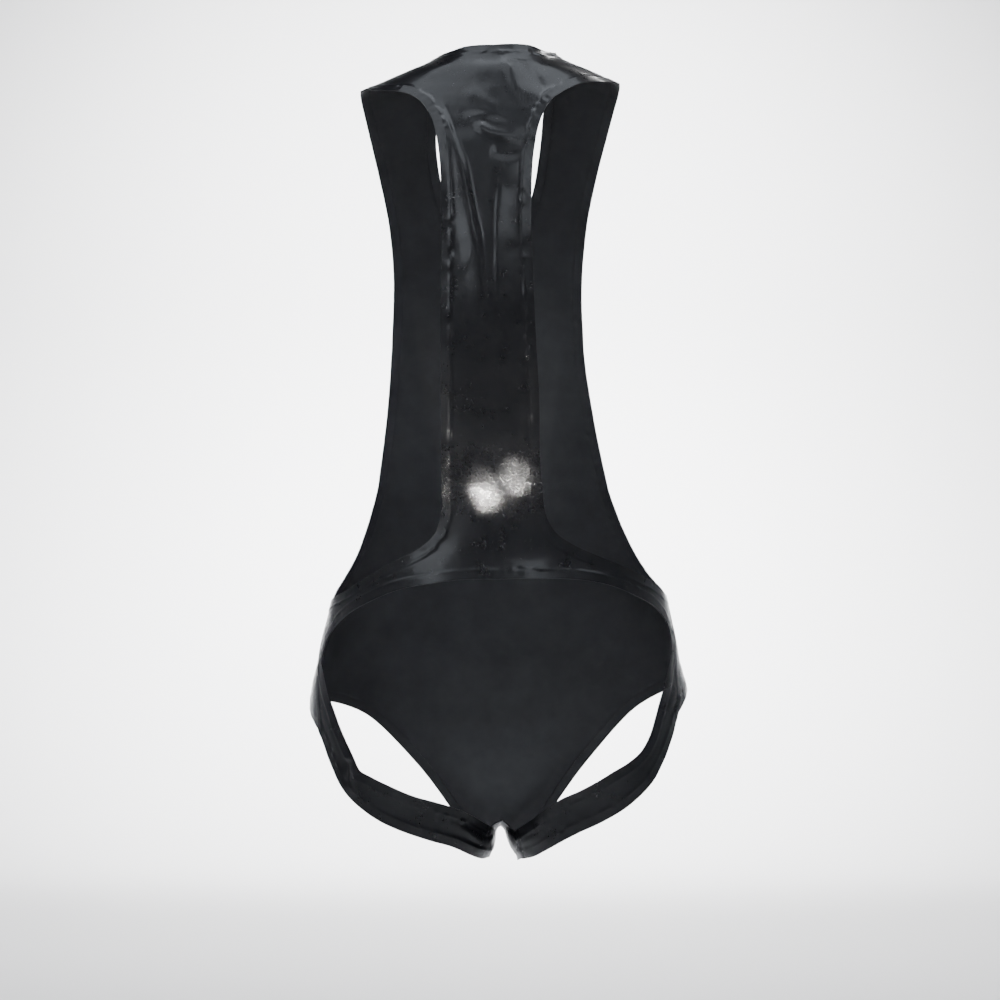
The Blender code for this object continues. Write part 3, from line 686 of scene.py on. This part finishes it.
def front_half(hem_table, side, back, band):
    """One half of the front panel: the ladder of the body, and the one of the leg."""
    sections = [(from_middle(a, side), from_middle(b, side), n, t) for a, b, n, t in FRONT_SECTIONS]
    seam = np.concatenate([back["grid"][back["seam"] :, 0], band["grid"][1 : band["hem"] + 1, 0]])
    groin = band["grid"][-1]
    corners = {"out": [back["grid"][0, 0], seam[0], groin[-1]], "in": [back["grid"][0, -1]]}
    out, inner = rails(sections, side, FRONT_FINE, corners)
    seam_at = row_of(sections, 0, "out", FRONT_FINE)
    corner = on_figure(from_middle(TONGUE_CORNER, side))
    tongue = curve([groin[-1], corner, inner[-1]], TONGUE_STEPS)
    body = ladder(out, inner, BODY_ACROSS, last=tongue, fade=2 * FRONT_FINE)

    given = iter([seam[-1], groin[0]])
    hem_points = [
        next(given) if point == SEAM else on_figure(from_middle(point, side), side)
        for point, _ in hem_table
    ]
    hem = curve(hem_points, [steps * FRONT_FINE for _, steps in hem_table])
    leg = ladder(hem, out[seam_at:], LEG_ACROSS, first=seam[::-1], fade=3 * FRONT_FINE)
    neck = row_of(sections, 0, "in", FRONT_FINE)
    return {"body": body, "leg": leg, "top": seam_at, "neck": neck, "seam": seam}


def joined(*parts):
    """Lines that follow each other, as one line."""
    return np.concatenate([parts[0], *[part[1:] for part in parts[1:]]])


def opening_loops(back, band, front):
    """The edge of each opening, and beside it a line that lies inside the cloth."""
    loops = {}
    for side, name in ((LEFT, "left"), (RIGHT, "right")):
        b, s, f = back[side], band[side], front[side]
        loops[f"armhole_tape_{name}"] = [
            joined(b["grid"][: b["seam"] + 1, k][::-1], f["body"][: f["top"] + 1, k]) for k in (0, BESIDE)
        ]
        loops[f"leg_tape_{name}"] = [
            joined(s["grid"][s["hem"] :, k], f["leg"][::-1, k]) for k in (0, BESIDE)
        ]
    neck, seat = [], []
    for k, row in ((-1, -1), (-1 - BESIDE, -1 - FRONT_FINE)):
        neck_lines, seat_lines = [], []
        for side in (LEFT, RIGHT):
            b, s, f = back[side], band[side], front[side]
            neck_lines.append((b["grid"][: b["neck"] + 1, k], f["body"][: f["neck"] + 1, k]))
            seat_lines.append(joined(b["grid"][b["seat"] :, k], s["grid"][:, k], f["body"][row]))
        (left_back, left_front), (right_back, right_front) = neck_lines
        neck.append(joined(left_back, right_back[::-1], right_front, left_front[::-1]))
        seat.append(joined(seat_lines[0], seat_lines[1][::-1]))
    loops["neck_tape"] = neck
    loops["seat_tape"] = seat
    return loops


def noise(points, size, seed, waves=18):
    """Smooth noise with a spread of about 1, made of plane waves of about this size."""
    rng = np.random.default_rng(seed)
    total = np.zeros(points.shape[:-1])
    for _ in range(waves):
        way = rng.normal(size=3)
        way *= 2 * math.pi / (np.linalg.norm(way) * size * rng.uniform(0.75, 1.5))
        total += np.cos(points @ way + rng.uniform(0, 2 * math.pi))
    return total / math.sqrt(waves / 2)


def step_down(away, at, soft):
    """One nearer than a distance, and zero beyond it."""
    return 1 / (1 + np.exp(np.clip((away - at) / soft, -40, 40)))


def bell(away, width):
    """One at no distance, and softly down to zero beyond this width."""
    return np.exp(-((away / width) ** 2))


def eased(x):
    """A soft rise from 0 to 1."""
    x = np.clip(x, 0, 1)
    return x * x * (3 - 2 * x)


class Edge:
    """A line on the cloth, to which distances are measured."""

    def __init__(self, lines):
        lines = [spaced(line, np.linspace(0, 1, int(line_length(line) / EDGE_FINE) + 2)) for line in lines]
        self.points = np.concatenate(lines)
        self.tree = KDTree(len(self.points))
        for i, point in enumerate(self.points.tolist()):
            self.tree.insert(point, i)
        self.tree.balance()

    def nearest(self, points):
        """How far each point is from the line, and the nearest place on it."""
        found = [self.tree.find(p) for p in points.reshape(-1, 3).tolist()]
        away = np.array([f[2] for f in found]).reshape(points.shape[:-1])
        feet = self.points[[f[1] for f in found]].reshape(points.shape)
        return away, feet


def ridge_lift(points):
    """How far the folds lift the cloth."""
    lift = np.zeros(points.shape[:-1])
    for path, left, right, height in RIDGES:
        line = curve([on_figure(p) for p in path], [RIDGE_FINE] * (len(path) - 1))
        leftward = np.cross(outward(line), np.gradient(line, axis=0))
        reach = np.linspace(0, 1, len(line))
        off = points[..., None, :] - line
        nearest = (off * off).sum(-1).argmin(-1)
        off = points - line[nearest]
        away = np.linalg.norm(off, axis=-1)
        width = np.where((off * leftward[nearest]).sum(-1) > 0, left, right)
        share = reach[nearest]
        lift += height * eased(share / RIDGE_START) * eased((1 - share) / RIDGE_END) * bell(away, width)
    return lift


def hem_lift(points, edges):
    """The doubled cloth along a free edge, its glue line and the puckers along it."""
    away, feet = edges.nearest(points)
    busy = np.clip(BUSY_MEAN + BUSY_SPREAD * noise(feet, *BUSY_NOISE), *BUSY_RANGE)
    bead = BEAD_RISE + BEAD_UNEVEN * busy * noise(feet, *BEAD_NOISE)
    lift = HEM_RISE * step_down(away, TAPE_WIDTH, HEM_SOFT)
    lift += bell(away - TAPE_WIDTH, BEAD_WIDTH) * bead
    lift += bell(away - RIPPLE_AT, RIPPLE_WIDTH) * RIPPLE_RISE * busy * noise(feet, *RIPPLE_NOISE)
    lift += bell(away, LIP_WIDTH) * LIP_RISE * noise(feet, *LIP_NOISE)
    return lift


def calm_lift(points):
    """The broad, shallow waves of a stretched sheet."""
    return sum(height * noise(points, *kind) for height, kind in CALM_WAVES)


def seam_lift(points, seam):
    """The lap of the panel that lies over its neighbour at a seam."""
    away, feet = seam.nearest(points)
    lift = SEAM_RISE * step_down(away, SEAM_LAP, SEAM_SOFT)
    lift += bell(away - SEAM_LAP, LAP_WIDTH) * LAP_UNEVEN * noise(feet, *LAP_NOISE)
    return lift - GROOVE_DEEP * bell(away, GROOVE_WIDTH)


def streak_lift(points, edge):
    """The long, flat wrinkles that run along a strap."""
    away, feet = edge.nearest(points)
    wave = np.sin(2 * math.pi * away / STREAK_STEP + STREAK_WANDER * noise(feet, *WANDER_NOISE))
    return wave * STREAK_RISE * np.clip(noise(feet, *FADING_NOISE), *FADING_RANGE)


def placed(name, data):
    """A new object in the scene."""
    thing = bpy.data.objects.new(name, data)
    bpy.context.scene.collection.objects.link(thing)
    return thing


def shell(name, grids, lifts, low, high, looks):
    """A closed thin wall through the grids' points, between two heights over the figure."""
    points = np.concatenate([grid.reshape(-1, 3) for grid in grids])
    lift = np.concatenate([part.reshape(-1) for part in lifts])
    places = np.round(points, MERGE_DIGITS)
    _, first, ids = np.unique(places, axis=0, return_index=True, return_inverse=True)
    ids = ids.reshape(-1)
    points, lift = points[first], lift[first]
    normals = outward(points)
    quads, start = [], 0
    for grid in grids:
        rows, across = grid.shape[:2]
        at = ids[start : start + rows * across].reshape(rows, across)
        start += rows * across
        part = np.stack([at[:-1, :-1], at[1:, :-1], at[1:, 1:], at[:-1, 1:]], -1).reshape(-1, 4)
        ways = np.cross(points[part[:, 2]] - points[part[:, 0]], points[part[:, 3]] - points[part[:, 1]])
        if (ways * normals[part[:, 0]]).sum() < 0:
            part = part[:, ::-1]
        quads.append(part)
    quads = np.concatenate(quads)

    count = len(points)
    a, b = quads.reshape(-1), np.roll(quads, -1, axis=1).reshape(-1)
    free = ~np.isin(a * count + b, b * count + a)
    a, b = a[free], b[free]
    rim = np.stack([b, a, a + count, b + count], -1)
    inside = quads[:, ::-1] + count
    faces = np.concatenate([quads, rim, inside])
    outer = points + normals * (lift + high)[:, None]
    inner = points + normals * (lift + low)[:, None]

    mesh = bpy.data.meshes.new(name)
    mesh.from_pydata((np.concatenate([outer, inner]) * MM).tolist(), [], faces.tolist())
    for look in looks:
        mesh.materials.append(look)
    which = np.zeros(len(faces), np.int32)
    which[len(quads) + len(rim) :] = len(looks) - 1
    mesh.polygons.foreach_set("material_index", which)
    mesh.validate()
    mesh.shade_smooth()
    mesh.set_sharp_from_angle(angle=SHARP_ANGLE)
    return placed(name, mesh)


def tape_grid(edge, beside):
    """The strip of a hem tape, from its edge into the cloth."""
    count = int(line_length(edge) / TAPE_FINE)
    places = np.linspace(0, 1, count)
    edge, beside = spaced(edge, places), spaced(beside, places)
    along = np.roll(edge, -1, axis=0) - np.roll(edge, 1, axis=0)
    way = np.cross(outward(edge), along)
    way *= np.sign((way * (beside - edge)).sum())
    way /= np.linalg.norm(way, axis=1, keepdims=True)
    for _ in range(3):
        way = (way + np.roll(way, 1, axis=0) + np.roll(way, -1, axis=0)) / 3
    strip = np.stack([edge + d * way for d in TAPE_COLUMNS], 1)
    strip[-1] = strip[0]
    return settle(strip, rounds=8)


def nodes_of(material):
    """The material's node tree and its surface."""
    material.use_nodes = True
    return material.node_tree, material.node_tree.nodes["Principled BSDF"]


def linked(tree, kind, inputs):
    """A new node, with the given values and links on its sockets."""
    node = tree.nodes.new(kind)
    for key, value in inputs.items():
        if isinstance(value, bpy.types.NodeSocket):
            tree.links.new(value, node.inputs[key])
        else:
            node.inputs[key].default_value = value
    return node


def ramp(tree, fac, stops):
    """A ramp through stops of a place and a colour, or a place and a grey."""
    node = linked(tree, "ShaderNodeValToRGB", {"Fac": fac})
    elements = node.color_ramp.elements
    while len(elements) < len(stops):
        elements.new(0.5)
    for element, (place, colour) in zip(elements, stops):
        element.position = place
        element.color = colour if isinstance(colour, tuple) else (colour, colour, colour, 1)
    return node.outputs["Color"]


def clouds(tree, place, scale, detail, roughness):
    """The value of a noise texture."""
    values = {"Vector": place, "Scale": scale, "Detail": detail, "Roughness": roughness}
    return linked(tree, "ShaderNodeTexNoise", values).outputs["Fac"]


def worked_out(tree, operation, *values):
    """The result of a sum with these values."""
    node = linked(tree, "ShaderNodeMath", dict(enumerate(values)))
    node.operation = operation
    return node.outputs["Value"]


def sheet_look(name, dark, light, rough, rough_spread, coat, bump, grain, speckle):
    """Latex sheet: its colour and gloss vary softly, and its skin has a fine, shallow grain."""
    material = bpy.data.materials.new(name)
    tree, surface = nodes_of(material)
    place = tree.nodes.new("ShaderNodeTexCoord").outputs["Object"]
    cloud = clouds(tree, place, *CLOUD)
    haze = clouds(tree, place, *HAZE)
    skin = clouds(tree, place, grain, *GRAIN)
    colour = ramp(tree, cloud, ((COLOUR_FROM, dark), (COLOUR_TO, light)))
    mixed = worked_out(tree, "MULTIPLY", cloud, haze)
    gloss = ramp(tree, mixed, ((GLOSS_FROM, rough - rough_spread), (GLOSS_TO, rough + rough_spread)))

    height = linked(tree, "ShaderNodeSeparateXYZ", {"Vector": place}).outputs["Z"]
    heights = {"Value": height, "From Min": DULL_BELOW, "From Max": DULL_ABOVE}
    level = linked(tree, "ShaderNodeMapRange", heights).outputs["Result"]
    dull = ramp(tree, level, DULL_STOPS)
    grit = worked_out(tree, "MULTIPLY", worked_out(tree, "SUBTRACT", skin, 0.5), dull)
    uneven = worked_out(tree, "MULTIPLY_ADD", grit, speckle, gloss)
    strength = worked_out(tree, "MULTIPLY", dull, bump)
    grained = {"Strength": strength, "Distance": GRAIN_HEIGHT, "Height": skin}
    normal = linked(tree, "ShaderNodeBump", grained).outputs["Normal"]

    tree.links.new(colour, surface.inputs["Base Color"])
    tree.links.new(uneven, surface.inputs["Roughness"])
    tree.links.new(normal, surface.inputs["Normal"])
    tree.links.new(normal, surface.inputs["Coat Normal"])
    surface.inputs["Coat Weight"].default_value = coat
    surface.inputs["Coat Roughness"].default_value = COAT_ROUGHNESS
    surface.inputs["Specular IOR Level"].default_value = SPECULAR_LEVEL
    surface.inputs["IOR"].default_value = REFRACTION
    return material


def lamp(data, place, aim):
    """Puts a light in its place, pointing at another."""
    light = placed(data.name, data)
    light.location = place
    light.rotation_euler = (Vector(aim) - Vector(place)).to_track_quat("-Z", "Y").to_euler()
    light.visible_camera = False


def soft_light(name, place, aim, size, power, spread, colour):
    """A soft, rectangular light."""
    data = bpy.data.lights.new(name, "AREA")
    data.shape = "RECTANGLE"
    data.size, data.size_y = size
    data.energy = power
    data.spread = math.radians(spread)
    data.color = colour
    lamp(data, place, aim)


def beam(name, place, aim, angle, size, power):
    """A narrow beam with a soft border."""
    data = bpy.data.lights.new(name, "SPOT")
    data.spot_size = math.radians(angle)
    data.spot_blend = 1.0
    data.shadow_soft_size = size
    data.energy = power
    data.color = WARM
    lamp(data, place, aim)


def plain_look(name, colour, rough):
    """A plain material for the studio."""
    material = bpy.data.materials.new(name)
    _, surface = nodes_of(material)
    surface.inputs["Base Color"].default_value = colour
    surface.inputs["Roughness"].default_value = rough
    return material


def backdrop():
    """The floor with its wall swept up all round."""
    turns = np.linspace(0, math.pi / 2, SWEEP_STEPS + 1)[1:]
    profile = [(FLOOR_CENTRE, FLOOR_Z), (FLOOR_REACH, FLOOR_Z)]
    profile += [(FLOOR_REACH + SWEEP * math.sin(a), FLOOR_Z + SWEEP * (1 - math.cos(a))) for a in turns]
    profile.append((FLOOR_REACH + SWEEP, WALL_TOP))
    around = np.linspace(0, 2 * math.pi, FLOOR_SIDES + 1)[:-1]
    points = [(r * math.cos(a), r * math.sin(a), z) for a in around for r, z in profile]
    n = len(profile)
    faces = [tuple(range(0, len(points), n))]
    for i in range(FLOOR_SIDES):
        first, second = i * n, (i + 1) % FLOOR_SIDES * n
        faces += [(first + k, first + k + 1, second + k + 1, second + k) for k in range(n - 1)]
    mesh = bpy.data.meshes.new("floor")
    mesh.from_pydata(points, [], faces)
    mesh.shade_smooth()
    mesh.materials.append(plain_look("floor", FLOOR_COLOUR, FLOOR_ROUGH))
    placed("floor", mesh)


def viewpoint():
    """The camera, level with the middle of the garment, behind it."""
    data = bpy.data.cameras.new("camera")
    data.lens = LENS
    data.sensor_width = SENSOR
    data.clip_start, data.clip_end = NEAREST, FARTHEST
    camera = placed("camera", data)
    camera.location = CAMERA
    camera.rotation_euler = CAMERA_TURN
    bpy.context.scene.camera = camera


def studio():
    """The floor and wall, the lights and the camera."""
    backdrop()
    world = bpy.data.worlds.new("studio")
    world.use_nodes = True
    sky = world.node_tree.nodes["Background"]
    sky.inputs["Color"].default_value = SKY_COLOUR
    sky.inputs["Strength"].default_value = SKY
    bpy.context.scene.world = world
    for light in SOFT_LIGHTS:
        soft_light(*light)
    for light in BEAMS:
        beam(*light)
    viewpoint()


def dress():
    """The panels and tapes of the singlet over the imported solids."""
    back = {LEFT: back_half(BACK_LEFT, LEFT), RIGHT: back_half(BACK_RIGHT, RIGHT)}
    band = {LEFT: strap(STRAP_LEFT, LEFT), RIGHT: strap(STRAP_RIGHT, RIGHT)}
    front = {
        LEFT: front_half(HEM_LEFT, LEFT, back[LEFT], band[LEFT]),
        RIGHT: front_half(HEM_RIGHT, RIGHT, back[RIGHT], band[RIGHT]),
    }
    loops = opening_loops(back, band, front)
    edges = Edge([edge for edge, _ in loops.values()])
    seat = Edge([loops["seat_tape"][0]])

    def relief(grid):
        return ridge_lift(grid) + hem_lift(grid, edges) + calm_lift(grid)

    skin, lining, trim = (sheet_look(*look) for look in LOOKS)
    low, high = WALL - SHEET, WALL

    shoulders = [back[side]["grid"][0] for side in (LEFT, RIGHT)]
    sides = [front[side]["seam"] for side in (LEFT, RIGHT)]
    joins = [back[side]["grid"][-1] for side in (LEFT, RIGHT)]
    over_back = Edge([*shoulders, *sides, *joins])
    grids = [back[side]["grid"] for side in (LEFT, RIGHT)]
    lifts = [relief(grid) + seam_lift(grid, over_back) for grid in grids]
    pieces = {"back_sheet": shell("back_sheet", grids, lifts, low, high, (skin, lining))}

    grids = [grid for side in (LEFT, RIGHT) for grid in (front[side]["body"], front[side]["leg"])]
    lifts = [relief(grid) for grid in grids]
    pieces["front_sheet"] = shell("front_sheet", grids, lifts, low, high, (skin, lining))

    for side, name in ((LEFT, "strap_left"), (RIGHT, "strap_right")):
        grid = band[side]["grid"]
        over_front = Edge([grid[-1], front[side]["seam"]])
        lift = relief(grid) + seam_lift(grid, over_front) + streak_lift(grid, seat)
        pieces[name] = shell(name, [grid], [lift], low, high, (skin, lining))

    tapes = {}
    top = low - TAPE_CLEAR
    for name, (edge, beside) in loops.items():
        grid = tape_grid(edge, beside)
        tapes[name] = shell(f"{name}_strip", [grid], [relief(grid)], top - TAPE_THICK, top, (trim,))
    return pieces, tapes


def declare(pieces, tapes):
    """Attaches each piece to the root body and hides the imported solid that it stands for."""
    nodes = {
        "back_sheet": "back_panel",
        "front_sheet": "front_panel",
        "strap_left": "thigh_strap_left",
        "strap_right": "thigh_strap_right",
    }
    for name, piece in pieces.items():
        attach(piece, "root")
        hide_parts(nodes[name])
    for name, piece in tapes.items():
        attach(piece, "root")
        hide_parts(name)


pieces, tapes = dress()
declare(pieces, tapes)
studio()
